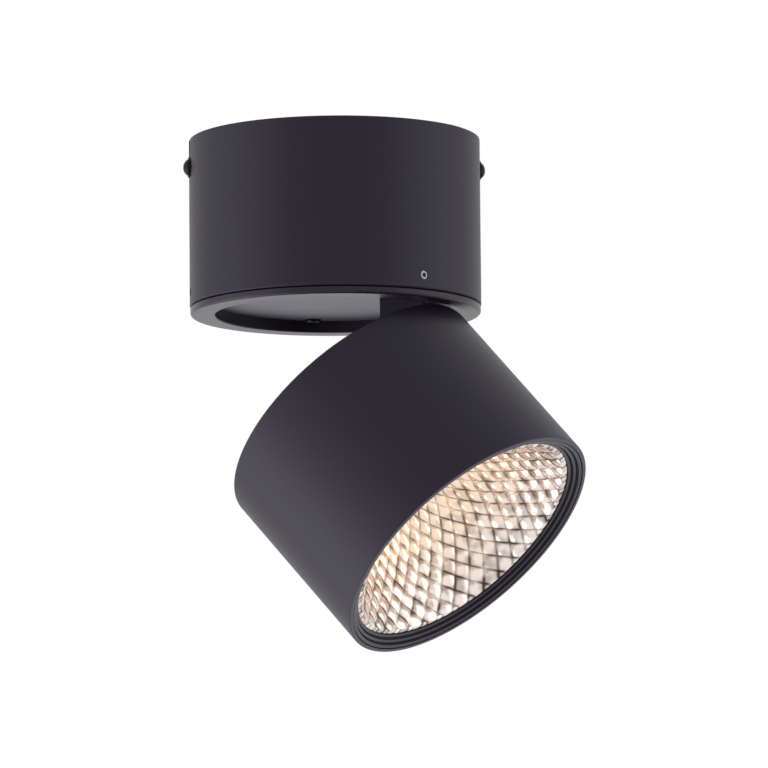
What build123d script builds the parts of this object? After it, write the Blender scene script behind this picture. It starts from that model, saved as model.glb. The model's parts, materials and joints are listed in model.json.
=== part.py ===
from build123d import *
from math import acos, cos, degrees, hypot, pi, radians, sin, sqrt, tan
import os

# Surface mounted ceiling spotlight: a round canopy screwed to the ceiling, a
# turntable that swivels in its mouth, and a round lamp head hinged under it.
# Millimetres and degrees. The ceiling is the plane z = 0 and the canopy's axis
# is Z, so everything hangs below. The head stands at the tilt it is stored in.

# Canopy tube
housing_radius = 50.0
housing_wall = 2.0
housing_height = 57.9
housing_edge = 0.5

# Ceiling bracket
bracket_steel = 1.5
shoulder_inset = 15.0
bracket_margin = 5.5
ear_half_width = 7.0
ear_drop = 16.0
ear_gap = 0.2
ear_bend = 1.4
ear_corner = 3.0
slot_inset = 12.0
slot_length = 12.0
slot_width = 4.5

# M3 fasteners, shared by the whole light
thread_radius = 1.5
shank_radius = 1.45
pan_radius = 2.6
pan_height = 1.1
hole_gap = 0.15
cut_over = 1.0

# Side screws that hold the canopy to the bracket's ears
side_screw_drop = 10.0
side_screw_reach = 7.0
side_head_radius = 2.75
side_head_height = 1.75
side_head_rim = 0.35
side_socket = 1.15
side_socket_depth = 1.1
side_washer_radius = 3.5
side_washer_thickness = 0.5
notch_radius = 1.75

# Cable entry
entry_x = -24.0
entry_y = 12.0
entry_radius = 5.0
bushing_wall = 1.6
bushing_length = 5.0
bushing_flange = 2.2
bushing_flange_thickness = 1.4

# Terminal block
pole_pitch = 9.0
pole_count = 3
block_width = 18.0
block_height = 13.0
block_end_wall = 0.5
block_gap = 3.0
block_edge = 0.8
tube_radius = 2.0
tube_bore = 1.2
tube_drop = 8.0
tube_recess = 0.5
clamp_sink = 1.0
clamp_spacing = 10.0
clamp_radius = 1.4

# Leads
lead_radius = 1.0
lead_bend_share = 0.45
lead_gap = 0.2
line_loop_out = 6.5
line_loop_end = (34.5, -2.0, -10.0)
line_loop_turn = 26.0
neutral_loop_out = 10.5
neutral_loop_end = (40.5, -6.0, -10.5)
neutral_loop_turn = 34.0
earth_loop_start = 15.0
earth_loop_turn = (17.0, 33.0, -7.0)
earth_loop_end = 37.0
output_loop_out = 8.5
output_loop_turn = (5.0, 4.0, -26.0)
output_loop_end = -27.5

# Earth point
earth_x = 24.0
earth_inset = 5.0
lug_radius = 3.2
lug_thickness = 0.8
lug_barrel_radius = 1.6
lug_barrel_length = 6.0
lug_neck = 1.5
lug_barrel_floor = 1.5

# Driver
driver_length = 56.0
driver_width = 28.0
driver_height = 20.0
driver_wall = 1.5
driver_inset = 29.0
driver_edge = 1.0
driver_tab_length = 6.5
driver_tab_width = 10.0
driver_tab_shift = 3.0
driver_tab_root = 1.0
cover_gap = 0.1
driver_lead_drop = 12.0
input_spread = 8.0
board_drop = 7.0
board_thickness = 1.6
board_margin = 0.4
post_radius = 1.6
transformer_length = 16.0
transformer_width = 14.0
transformer_height = 10.0
transformer_x = -6.0
capacitor_radius = 4.0
capacitor_height = 9.0
capacitor_x = 14.0
capacitor_gap = 1.0

# Turntable: ring, floor plate and their screws
swivel_angle = -36.4
swivel_gap = 0.5
flange_inset = 0.2
flange_thickness = 2.3
flange_round = 0.9
flange_width = 8.4
mouth_chamfer = 0.3
skirt_gap = 0.3
skirt_wall = 3.5
skirt_height = 8.4
groove_depth = 1.3
recess_depth = 4.1
floor_thickness = 1.5
floor_gap = 0.1
ledge_thickness = 2.5
ledge_width = 5.0
floor_screw_inset = 2.8
floor_screw_angle = 48.2

# Set screws that ride in the turntable's groove
set_screw_angle = -59.4
set_screw_count = 3
set_screw_rise = 4.7
set_screw_sink = 0.3
set_tip_radius = 1.0
set_tip_gap = 0.3
groove_gap = 0.3
set_socket = 0.87
set_socket_depth = 1.2

# Swivel stop
stop_lug_width = 6.4
stop_lug_height = 3.5
stop_lug_depth = 2.8
stop_lug_inset = 0.3
stop_lug_sink = 1.0
stop_rib_width = 3.0
stop_rib_height = 7.4
stop_rib_gap = 0.6

# Lamp head
head_radius = 50.0
head_length = 66.5
head_wall = 2.6
mouth_wall = 1.45
rear_wall = 2.5
rear_round = 0.5
front_round = 0.5
tilt_angle = 42.6
fold_gap = 2.0
hinge_inset = 5.8
hinge_depth = 8.2

# Hinge
hinge_bracket_gap = 0.4
hinge_bracket_length = 16.7
hinge_bracket_width = 20.0
hinge_steel = 2.0
hinge_bracket_drop = 10.4
knuckle_radius = 3.2
knuckle_run = 14.0
sweep_gap = 0.45
slot_gap = 0.6
pocket_skin = 1.2
pocket_gap = 0.6
pocket_run = 6.7
pocket_floor = 1.6
pin_gap = 0.06
friction_washer_thickness = 0.3
friction_washer_radius = 2.6
face_gap = 0.03
yoke_steel = 2.5
yoke_knuckle_radius = 2.7
yoke_root_inset = 1.2
yoke_foot_run = 10.2
yoke_foot_length = 10.0
yoke_screw_side = 5.0
hinge_screw_head = 1.5
washer_bore_gap = 0.05
hinge_thread_gap = 0.01
yoke_screw_tip = 1.0
cheek_reach = 30.0
bracket_screw_side = 3.5
bracket_screw_inset = 3.9
bracket_screw_pitch = 6.0

# Lead through the hinge
lead_side = 4.8
lead_meeting_gap = 0.1
lead_level_rise = 8.1
lead_meeting_rise = 11.0
lead_wide_bend = 8.0
lead_tight_bend = 5.5
lead_board_bend = 6.0
grommet_inset = 7.9
grommet_wall = 1.2
grommet_flange = 1.2
grommet_flange_thickness = 1.0

# Heat sink
sink_back = 15.6
sink_thickness = 4.4
sink_gap = 2.2
fin_height = 10.0
fin_thickness = 1.8
fin_pitch = 6.6
fin_count = 13
fin_lead_gap = 4.0
fin_inset = 1.0
boss_radius = 4.0
boss_inset = 6.2
boss_count = 3
sink_screw_length = 9.0
sink_head_radius = 2.9
sink_head_depth = 1.5
sink_head_gap = 0.1

# Light source
led_side = 19.0
led_thickness = 1.0
led_gap = 0.2
emitter_radius = 7.2
emitter_thickness = 0.3
holder_radius = 17.5
holder_thickness = 3.0
holder_opening = 8.6
holder_screw_side = 13.6
holder_sink = 1.8
holder_lip = 0.2
head_lead_inset = 10.0

# Reflector
mouth_inset = 4.2
mouth_depth = 3.4
throat_radius = 10.0
throat_gap = 0.1
bowl_wall = 1.3
facets_round = 40
facet_step = 3.95
facet_turn = 1.25
facet_rise = 0.12
rim_width = 3.4
rim_thickness = 0.8
punch_overrun = 2.0

# Stepped baffle
baffle_gap = 0.1
baffle_count = 3
baffle_pitch = 1.1
baffle_step = 1.43
baffle_slope = 0.55
seat_width = 1.8
seat_height = 2.0

os.makedirs("parts", exist_ok=True)


hinge_way = Vector(1, 0, 0).rotate(Axis.Z, swivel_angle)
side_way = Vector(0, 1, 0).rotate(Axis.Z, swivel_angle)
up = Vector(0, 0, 1)

housing_inside = housing_radius - housing_wall
flange_radius = housing_radius - flange_inset
mouth_bore = flange_radius - flange_width
set_screw_drop = housing_height - set_screw_rise
flange_top = -(housing_height + swivel_gap)
ring_bottom = flange_top - flange_thickness
floor_face = ring_bottom + recess_depth
ledge_face = floor_face + floor_thickness
hinge_radius = head_radius - hinge_inset
pin_height = ring_bottom - fold_gap - hinge_depth

tilt = radians(tilt_angle)
beam = hinge_way * sin(tilt) - up * cos(tilt)
lift = hinge_way * cos(tilt) + up * sin(tilt)
pin_point = hinge_way * hinge_radius + up * pin_height
rear_centre = pin_point - lift * hinge_radius - beam * hinge_depth
front_centre = rear_centre + beam * head_length


def level(height, out=0.0, side=0.0):
    # Horizontal plane in the turntable's frame: x runs towards the hinge.
    origin = hinge_way * out + side_way * side + up * height
    return Plane(origin=origin, x_dir=hinge_way, z_dir=up)


def upright(side=0.0):
    # Vertical plane through the hinge's direction: x runs out, y up.
    return Plane(origin=side_way * side, x_dir=hinge_way, z_dir=-side_way)


def across(depth):
    # Plane square to the beam, that far in front of the head's rear face.
    return Plane(origin=rear_centre + beam * depth, x_dir=lift, z_dir=beam)


def along(side=0.0):
    # Plane through the beam: x is the radius, y the depth behind the front rim.
    return Plane(origin=front_centre + side_way * side, x_dir=lift, z_dir=-side_way)


def facing(point, direction):
    # Seat of a screw: z leaves the material through the screw's head.
    return Plane(origin=point, z_dir=direction)


def radial(angle, height, distance=0.0):
    way = Vector(1, 0, 0).rotate(Axis.Z, angle)
    return Plane(origin=way * distance + up * height, x_dir=up, z_dir=way)


def round_piece(seat, radius, length):
    # A plain round bar or disc that grows along the seat's z.
    with BuildSketch(seat) as disc:
        Circle(radius)
    extrude(disc.sketch, amount=length)


def round_hole(seat, radius, length):
    with BuildSketch(seat) as disc:
        Circle(radius)
    extrude(disc.sketch, amount=length, mode=Mode.SUBTRACT)


def headed_screw(seat, head_radius, head_height, length):
    round_piece(seat, head_radius, head_height)
    round_piece(seat, shank_radius, -length)


def lead_radii(points):
    # Each arc is as large as its two runs allow.
    radii = []
    for before, corner, after in zip(points, points[1:], points[2:]):
        first = corner - before
        second = after - corner
        turn = radians(first.get_angle(second))
        radii.append(lead_bend_share * min(first.length, second.length) / tan(turn / 2))
    return radii


def lead_tube(name, points, radii=None):
    radii = radii or lead_radii(points)
    print(name, "bends", [round(radius, 1) for radius in radii])
    with BuildLine() as route:
        FilletPolyline(*points, radius=radii)
    with BuildSketch(Plane(origin=points[0], z_dir=points[1] - points[0])) as section:
        Circle(lead_radius)
    sweep(section.sketch, path=route.wire())


# Tube open at both ends, with a notch at each side for the screws.
with BuildPart() as canopy_housing:
    with BuildSketch(Plane.XY.offset(-housing_height)):
        Circle(housing_radius)
        Circle(housing_inside, mode=Mode.SUBTRACT)
    extrude(amount=housing_height)
    rims = canopy_housing.edges().filter_by(GeomType.CIRCLE)
    fillet(rims.filter_by(lambda rim: rim.radius > housing_inside + 0.1), housing_edge)
    # Rib inside the wall that the turntable's lug meets at either end of its swivel
    rib_bottom = flange_top + skirt_height + stop_rib_gap
    with BuildSketch(level(rib_bottom, -housing_inside + stop_lug_depth / 2)):
        Rectangle(stop_lug_depth + housing_wall + 2 * skirt_gap, stop_rib_width)
    extrude(amount=stop_rib_height)
    with BuildSketch(Plane.YZ):
        with Locations((0, -side_screw_drop)):
            Circle(notch_radius)
        with Locations((0, -side_screw_drop / 2)):
            Rectangle(2 * notch_radius, side_screw_drop)
    extrude(amount=housing_radius, both=True, mode=Mode.SUBTRACT)
    for turn in range(set_screw_count):
        angle = set_screw_angle + 360 * turn / set_screw_count
        start = radial(angle, -set_screw_drop, housing_inside - cut_over)
        round_hole(start, thread_radius, housing_wall + 2 * cut_over)
canopy_housing.part.label = "canopy_housing"
export_step(canopy_housing.part, "parts/canopy_housing.step")

# Pressed steel plate against the ceiling, its two ends bent down as ears
ear_face = sqrt(housing_inside**2 - ear_half_width**2) - ear_gap
bracket_shoulder = housing_radius - shoulder_inset
slot_centre = housing_radius - slot_inset
driver_y = driver_inset - housing_inside
driver_tab_y = driver_y + driver_tab_shift
block_length = pole_pitch * pole_count + 2 * block_end_wall
block_middle_y = driver_y + driver_width / 2 + block_gap + block_length / 2
pole_ys = [block_middle_y + pole_pitch * (pole - (pole_count - 1) / 2) for pole in range(pole_count)]
block_screw_ys = [(first + second) / 2 for first, second in zip(pole_ys, pole_ys[1:])]
bracket_half_width = block_screw_ys[-1] + bracket_margin
earth_y = bracket_half_width - earth_inset
driver_tab_x = driver_length / 2 + driver_tab_length / 2
with BuildPart() as ceiling_bracket:
    with BuildSketch():
        with BuildLine():
            Polyline(
                (ear_face, ear_half_width),
                (bracket_shoulder, bracket_half_width),
                (-bracket_shoulder, bracket_half_width),
                (-ear_face, ear_half_width),
                (-ear_face, -ear_half_width),
                (-bracket_shoulder, -bracket_half_width),
                (bracket_shoulder, -bracket_half_width),
                (ear_face, -ear_half_width),
                close=True,
            )
        make_face()
    extrude(amount=-bracket_steel)
    with BuildSketch(Plane.XZ):
        with GridLocations(2 * ear_face - bracket_steel, 0, 2, 1):
            with Locations((0, -ear_drop / 2)):
                Rectangle(bracket_steel, ear_drop)
    extrude(amount=ear_half_width, both=True)
    bends = ceiling_bracket.edges().filter_by(Axis.Y).group_by(Axis.Z)[-1]
    fillet(bends, ear_bend)
    corners = ceiling_bracket.edges().filter_by(Axis.X).group_by(Axis.Z)[0]
    fillet(corners, ear_corner)
    with BuildSketch():
        with GridLocations(2 * slot_centre, 0, 2, 1):
            SlotOverall(slot_length, slot_width)
        with Locations((entry_x, entry_y)):
            Circle(entry_radius + bushing_wall)
        with Locations(*[(0, y) for y in block_screw_ys]):
            Circle(thread_radius)
        with Locations((driver_tab_x, driver_tab_y), (-driver_tab_x, driver_tab_y), (earth_x, earth_y)):
            Circle(thread_radius)
    extrude(amount=-bracket_steel, mode=Mode.SUBTRACT)
    for angle in (0, 180):
        ear = radial(angle, -side_screw_drop, ear_face - bracket_steel - cut_over)
        round_hole(ear, thread_radius, bracket_steel + 2 * cut_over)
ceiling_bracket.part.label = "ceiling_bracket"
export_step(ceiling_bracket.part, "parts/ceiling_bracket.step")

with BuildPart() as side_washers:
    for angle in (0, 180):
        face = radial(angle, -side_screw_drop, housing_radius)
        round_piece(face, side_washer_radius, side_washer_thickness)
        round_hole(face, thread_radius + hole_gap, side_washer_thickness)
side_washers.part.label = "side_washers"
export_step(side_washers.part, "parts/side_washers.step")

# Button heads: a short rim, then a dome
with BuildPart() as side_screws:
    for angle in (0, 180):
        seat = radial(angle, -side_screw_drop, housing_radius + side_washer_thickness)
        dome = side_head_height - side_head_rim
        dome_radius = (side_head_radius**2 + dome**2) / (2 * dome)
        with BuildSketch(Plane(origin=seat.origin, x_dir=up, z_dir=seat.x_dir.cross(seat.z_dir))):
            with BuildLine():
                Polyline(
                    (0, side_head_height),
                    (0, -side_screw_reach),
                    (shank_radius, -side_screw_reach),
                    (shank_radius, 0),
                    (side_head_radius, 0),
                    (side_head_radius, side_head_rim),
                )
                RadiusArc((side_head_radius, side_head_rim), (0, side_head_height), -dome_radius)
            make_face()
        revolve(axis=Axis(seat.origin, seat.z_dir))
        with BuildSketch(seat.offset(side_head_height)):
            RegularPolygon(side_socket, 6)
        extrude(amount=-side_socket_depth, mode=Mode.SUBTRACT)
side_screws.part.label = "side_screws"
export_step(side_screws.part, "parts/side_screws.step")

# Insulating bushing in the bracket's cable hole
bushing_inner = entry_x + entry_radius
bushing_outer = bushing_inner + bushing_wall
bushing_edge = bushing_outer + bushing_flange
bushing_foot = -bracket_steel - bushing_flange_thickness
with BuildPart() as cable_bushing:
    with BuildSketch(Plane.XZ.offset(-entry_y)):
        with BuildLine():
            Polyline(
                (bushing_inner, 0),
                (bushing_outer, 0),
                (bushing_outer, -bracket_steel),
                (bushing_edge, -bracket_steel),
                (bushing_edge, bushing_foot),
                (bushing_outer, bushing_foot),
                (bushing_outer, -bushing_length),
                (bushing_inner, -bushing_length),
                close=True,
            )
        make_face()
    revolve(axis=Axis((entry_x, entry_y, 0), (0, 0, 1)))
cable_bushing.part.label = "cable_bushing"
export_step(cable_bushing.part, "parts/cable_bushing.step")

# Terminal block: a moulded body with one brass tube to each pole
block_bottom = -bracket_steel - block_height
with BuildPart() as terminal_block:
    with BuildSketch(Plane.XY.offset(-bracket_steel)):
        with Locations((0, block_middle_y)):
            Rectangle(block_width, block_length)
    extrude(amount=-block_height)
    fillet(terminal_block.edges().filter_by(Axis.Z), block_edge)
    with BuildSketch(Plane.YZ):
        with Locations(*[(y, -tube_drop) for y in pole_ys]):
            Circle(tube_radius)
    extrude(amount=block_width / 2, both=True, mode=Mode.SUBTRACT)
    with BuildSketch(Plane.XY.offset(block_bottom)):
        with Locations((0, block_middle_y)):
            with GridLocations(clamp_spacing, pole_pitch, 2, pole_count):
                Circle(clamp_radius + hole_gap)
    extrude(amount=-tube_drop - block_bottom, mode=Mode.SUBTRACT)
    with BuildSketch(Plane.XY.offset(block_bottom)):
        with Locations(*[(0, y) for y in block_screw_ys]):
            Circle(thread_radius + hole_gap)
    extrude(amount=block_height, mode=Mode.SUBTRACT)
terminal_block.part.label = "terminal_block"
export_step(terminal_block.part, "parts/terminal_block.step")

with BuildPart() as terminal_tubes:
    with BuildSketch(Plane.YZ):
        with Locations(*[(y, -tube_drop) for y in pole_ys]):
            Circle(tube_radius)
            Circle(tube_bore, mode=Mode.SUBTRACT)
    extrude(amount=block_width / 2 - tube_recess, both=True)
    with BuildSketch(Plane.XY.offset(-tube_drop)):
        with Locations((0, block_middle_y)):
            with GridLocations(clamp_spacing, pole_pitch, 2, pole_count):
                Circle(clamp_radius)
    extrude(amount=-tube_radius, mode=Mode.SUBTRACT)
terminal_tubes.part.label = "terminal_tubes"
export_step(terminal_tubes.part, "parts/terminal_tubes.step")

with BuildPart() as terminal_screws:
    with BuildSketch(Plane.XY.offset(-tube_drop - lead_radius)):
        with Locations((0, block_middle_y)):
            with GridLocations(clamp_spacing, pole_pitch, 2, pole_count):
                Circle(clamp_radius)
    extrude(amount=block_bottom + clamp_sink + tube_drop + lead_radius)
terminal_screws.part.label = "terminal_screws"
export_step(terminal_screws.part, "parts/terminal_screws.step")

with BuildPart() as terminal_block_screws:
    for y in block_screw_ys:
        seat = facing((0, y, block_bottom), (0, 0, -1))
        headed_screw(seat, pan_radius, pan_height, block_height + bracket_steel)
terminal_block_screws.part.label = "terminal_block_screws"
export_step(terminal_block_screws.part, "parts/terminal_block_screws.step")

# Earth lug: a ring tongue with its crimp barrel over the bracket's edge
lug_drop = bracket_steel + lug_thickness
barrel_start = earth_y + lug_radius + lug_neck
neck_end = barrel_start + lug_barrel_floor
barrel_drop = lug_drop + lug_barrel_radius - lug_thickness
with BuildPart() as earth_lug:
    with BuildSketch(Plane.XY.offset(-bracket_steel)):
        with Locations((earth_x, earth_y)):
            Circle(lug_radius)
        with Locations((earth_x, (earth_y + neck_end) / 2)):
            Rectangle(2 * lug_barrel_radius, neck_end - earth_y)
        with Locations((earth_x, earth_y)):
            Circle(thread_radius + hole_gap, mode=Mode.SUBTRACT)
    extrude(amount=-lug_thickness)
    barrel = Plane(origin=(earth_x, barrel_start, -barrel_drop), z_dir=(0, 1, 0))
    round_piece(barrel, lug_barrel_radius, lug_barrel_length)
    round_hole(barrel.offset(lug_barrel_floor), lead_radius + lead_gap / 2, lug_barrel_length)
earth_lug.part.label = "earth_lug"
export_step(earth_lug.part, "parts/earth_lug.step")

with BuildPart() as earth_screw:
    headed_screw(facing((earth_x, earth_y, -lug_drop), (0, 0, -1)), pan_radius, pan_height, lug_drop)
earth_screw.part.label = "earth_screw"
export_step(earth_screw.part, "parts/earth_screw.step")

driver_top = -bracket_steel
driver_bottom = driver_top - driver_height
case_length = driver_length - 2 * driver_wall
case_width = driver_width - 2 * driver_wall
input_ys = [driver_y - input_spread / 2, driver_y + input_spread / 2]
board_length = case_length - 2 * board_margin
board_width = case_width - 2 * board_margin
post_x = board_length / 2 - post_radius
post_y = board_width / 2 - post_radius
with BuildPart() as driver_case:
    with BuildSketch(Plane.XY.offset(driver_top)):
        with Locations((0, driver_y)):
            RectangleRounded(driver_length, driver_width, driver_edge)
    extrude(amount=-driver_height)
    with BuildSketch(Plane.XY.offset(driver_top)):
        with GridLocations(2 * driver_tab_x - driver_tab_root, 0, 2, 1):
            with Locations((0, driver_tab_y)):
                Rectangle(driver_tab_length + driver_tab_root, driver_tab_width)
    extrude(amount=-driver_wall)
    with BuildSketch(Plane.XY.offset(driver_top - driver_wall)):
        with Locations((0, driver_y)):
            Rectangle(case_length, case_width)
    extrude(amount=-driver_height, mode=Mode.SUBTRACT)
    # Posts that the circuit board stands on
    with BuildSketch(Plane.XY.offset(-board_drop)):
        with Locations((0, driver_y)):
            with GridLocations(2 * post_x, 2 * post_y, 2, 2):
                Circle(post_radius)
    extrude(amount=board_drop + driver_top - driver_wall)
    with BuildSketch(Plane.XY.offset(driver_top)):
        with Locations((driver_tab_x, driver_tab_y), (-driver_tab_x, driver_tab_y)):
            Circle(thread_radius + hole_gap)
    extrude(amount=-driver_wall, mode=Mode.SUBTRACT)
    wall_cut = driver_wall + 2 * cut_over
    for y in input_ys:
        inlet = Plane(origin=(case_length / 2 - cut_over, y, -driver_lead_drop), z_dir=(1, 0, 0))
        round_hole(inlet, lead_radius + lead_gap, wall_cut)
    outlet = Plane(origin=(cut_over - case_length / 2, driver_y, -driver_lead_drop), z_dir=(-1, 0, 0))
    round_hole(outlet, lead_radius + lead_gap, wall_cut)
driver_case.part.label = "driver_case"
export_step(driver_case.part, "parts/driver_case.step")

# The cover snaps inside the case's walls
with BuildPart() as driver_cover:
    with BuildSketch(Plane.XY.offset(driver_bottom)):
        with Locations((0, driver_y)):
            Rectangle(case_length - 2 * cover_gap, case_width - 2 * cover_gap)
    extrude(amount=driver_wall)
driver_cover.part.label = "driver_cover"
export_step(driver_cover.part, "parts/driver_cover.step")

with BuildPart() as driver_board:
    with BuildSketch(Plane.XY.offset(-board_drop)):
        with Locations((0, driver_y)):
            Rectangle(board_length, board_width)
    extrude(amount=-board_thickness)
driver_board.part.label = "driver_board"
export_step(driver_board.part, "parts/driver_board.step")

board_face = -board_drop - board_thickness
with BuildPart() as driver_transformer:
    with BuildSketch(Plane.XY.offset(board_face)):
        with Locations((transformer_x, driver_y)):
            Rectangle(transformer_length, transformer_width)
    extrude(amount=-transformer_height)
driver_transformer.part.label = "driver_transformer"
export_step(driver_transformer.part, "parts/driver_transformer.step")

with BuildPart() as driver_capacitors:
    with BuildSketch(Plane.XY.offset(board_face)):
        with Locations((capacitor_x, driver_y)):
            with GridLocations(0, 2 * capacitor_radius + capacitor_gap, 1, 2):
                Circle(capacitor_radius)
    extrude(amount=-capacitor_height)
driver_capacitors.part.label = "driver_capacitors"
export_step(driver_capacitors.part, "parts/driver_capacitors.step")

with BuildPart() as driver_screws:
    for x in (driver_tab_x, -driver_tab_x):
        seat = facing((x, driver_tab_y, driver_top - driver_wall), (0, 0, -1))
        headed_screw(seat, pan_radius, pan_height, driver_wall + bracket_steel)
driver_screws.part.label = "driver_screws"
export_step(driver_screws.part, "parts/driver_screws.step")

# Line and neutral loop from the driver to the terminal block; earth goes to its lug.
lead_start = case_length / 2
tube_end = clamp_spacing / 2 - clamp_radius
with BuildPart() as line_lead:
    lead_tube(
        "line_lead",
        [
            Vector(lead_start, input_ys[1], -driver_lead_drop),
            Vector(driver_length / 2 + line_loop_out, input_ys[1], -driver_lead_drop),
            Vector(*line_loop_end),
            Vector(line_loop_turn, pole_ys[0], -tube_drop),
            Vector(tube_end, pole_ys[0], -tube_drop),
        ],
    )
line_lead.part.label = "line_lead"
export_step(line_lead.part, "parts/line_lead.step")

with BuildPart() as neutral_lead:
    lead_tube(
        "neutral_lead",
        [
            Vector(lead_start, input_ys[0], -driver_lead_drop),
            Vector(driver_length / 2 + neutral_loop_out, input_ys[0], -driver_lead_drop),
            Vector(*neutral_loop_end),
            Vector(neutral_loop_turn, pole_ys[1], -tube_drop),
            Vector(tube_end, pole_ys[1], -tube_drop),
        ],
    )
neutral_lead.part.label = "neutral_lead"
export_step(neutral_lead.part, "parts/neutral_lead.step")

with BuildPart() as earth_lead:
    lead_tube(
        "earth_lead",
        [
            Vector(tube_end, pole_ys[2], -tube_drop),
            Vector(earth_loop_start, pole_ys[2], -tube_drop),
            Vector(*earth_loop_turn),
            Vector(earth_x, earth_loop_end, -barrel_drop),
            Vector(earth_x, neck_end, -barrel_drop),
        ],
    )
earth_lead.part.label = "earth_lead"
export_step(earth_lead.part, "parts/earth_lead.step")

# The driver's output leads to a point on the swivel axis, where it only twists.
lead_level = ledge_face + lead_level_rise
lead_meeting = lead_level + lead_meeting_rise
output_x = -driver_length / 2
with BuildPart() as driver_output_lead:
    lead_tube(
        "driver_output_lead",
        [
            Vector(-lead_start, driver_y, -driver_lead_drop),
            Vector(output_x - output_loop_out, driver_y, -driver_lead_drop),
            Vector(output_x - output_loop_turn[0], driver_y + output_loop_turn[1], output_loop_turn[2]),
            Vector(0, 0, output_loop_end),
            Vector(0, 0, lead_meeting),
        ],
    )
driver_output_lead.part.label = "driver_output_lead"
export_step(driver_output_lead.part, "parts/driver_output_lead.step")

groove_half = set_tip_radius + groove_gap
groove_radius = housing_inside - skirt_gap - groove_depth
with BuildPart() as swivel_set_screws:
    for turn in range(set_screw_count):
        angle = set_screw_angle + 360 * turn / set_screw_count
        outer = housing_radius - set_screw_sink
        round_piece(radial(angle, -set_screw_drop, housing_inside), shank_radius, outer - housing_inside)
        tip = groove_radius + set_tip_gap
        round_piece(radial(angle, -set_screw_drop, tip), set_tip_radius, housing_inside - tip)
        with BuildSketch(radial(angle, -set_screw_drop, outer)):
            RegularPolygon(set_socket, 6)
        extrude(amount=-set_socket_depth, mode=Mode.SUBTRACT)
swivel_set_screws.part.label = "swivel_set_screws"
export_step(swivel_set_screws.part, "parts/swivel_set_screws.step")

# Turned ring: a flange below the tube, a skirt inside it with a groove for the set
# screws, and a ledge that the floor plate is screwed up against.
skirt_radius = housing_inside - skirt_gap
skirt_top = flange_top + skirt_height
skirt_inside = skirt_radius - skirt_wall
floor_screw_circle = mouth_bore - floor_screw_inset
floor_screw_out = floor_screw_circle * cos(radians(floor_screw_angle))
floor_screw_side = floor_screw_circle * sin(radians(floor_screw_angle))
floor_screw_sides = (floor_screw_side, -floor_screw_side)
floor_screw_spots = [(out, side) for out in (floor_screw_out, -floor_screw_out) for side in floor_screw_sides]
with BuildPart() as turntable_ring:
    with BuildSketch(Plane.XZ):
        with BuildLine():
            Polyline(
                (mouth_bore, ring_bottom),
                (flange_radius, ring_bottom),
                (flange_radius, flange_top),
                (skirt_radius, flange_top),
                (skirt_radius, -set_screw_drop - groove_half),
                (groove_radius, -set_screw_drop - groove_half),
                (groove_radius, -set_screw_drop + groove_half),
                (skirt_radius, -set_screw_drop + groove_half),
                (skirt_radius, skirt_top),
                (skirt_inside, skirt_top),
                (skirt_inside, ledge_face + ledge_thickness),
                (mouth_bore - ledge_width, ledge_face + ledge_thickness),
                (mouth_bore - ledge_width, ledge_face),
                (mouth_bore, ledge_face),
                close=True,
            )
        make_face()
    revolve(axis=Axis.Z)
    rims = turntable_ring.edges().filter_by(GeomType.CIRCLE).group_by(Axis.Z)[0].sort_by(SortBy.RADIUS)
    fillet(rims[-1], flange_round)
    rims = turntable_ring.edges().filter_by(GeomType.CIRCLE).group_by(Axis.Z)[0].sort_by(SortBy.RADIUS)
    chamfer(rims[0], mouth_chamfer)
    # The lug is sunk a little into the skirt, so that it grows out of solid metal
    with BuildSketch(level(skirt_top - stop_lug_sink, skirt_inside + stop_lug_inset + stop_lug_depth / 2)):
        Rectangle(stop_lug_depth, stop_lug_width)
    extrude(amount=stop_lug_height + stop_lug_sink)
    with BuildSketch(level(ledge_face)):
        with Locations(*floor_screw_spots):
            Circle(thread_radius)
    extrude(amount=ledge_thickness, mode=Mode.SUBTRACT)
turntable_ring.part.label = "turntable_ring"
export_step(turntable_ring.part, "parts/turntable_ring.step")

hinge_bracket_out = sqrt(mouth_bore**2 - (hinge_bracket_width / 2) ** 2) - hinge_bracket_gap
hinge_bracket_in = hinge_bracket_out - hinge_bracket_length
grommet_out = hinge_bracket_in + grommet_inset
grommet_radius = lead_radius + lead_gap + grommet_wall
bracket_screw_first = hinge_bracket_in + bracket_screw_inset
bracket_screw_second = bracket_screw_first + bracket_screw_pitch
bracket_screw_spots = [(bracket_screw_first, bracket_screw_side), (bracket_screw_second, bracket_screw_side)]
with BuildPart() as floor_plate:
    with BuildSketch(level(floor_face)):
        Circle(mouth_bore - floor_gap)
        with Locations(*floor_screw_spots):
            Circle(thread_radius + hole_gap, mode=Mode.SUBTRACT)
        with Locations(*bracket_screw_spots):
            Circle(thread_radius + hole_gap, mode=Mode.SUBTRACT)
        with Locations((grommet_out, -lead_side)):
            Circle(grommet_radius, mode=Mode.SUBTRACT)
    extrude(amount=floor_thickness)
floor_plate.part.label = "floor_plate"
export_step(floor_plate.part, "parts/floor_plate.step")

with BuildPart() as floor_screws:
    for out, side in floor_screw_spots:
        seat = facing(level(floor_face, out, side).origin, (0, 0, -1))
        headed_screw(seat, pan_radius, pan_height, floor_thickness + ledge_thickness)
    tops = floor_screws.edges().filter_by(GeomType.CIRCLE).group_by(Axis.Z)[0]
    fillet(tops, pan_height / 2)
floor_screws.part.label = "floor_screws"
export_step(floor_screws.part, "parts/floor_screws.step")

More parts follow.
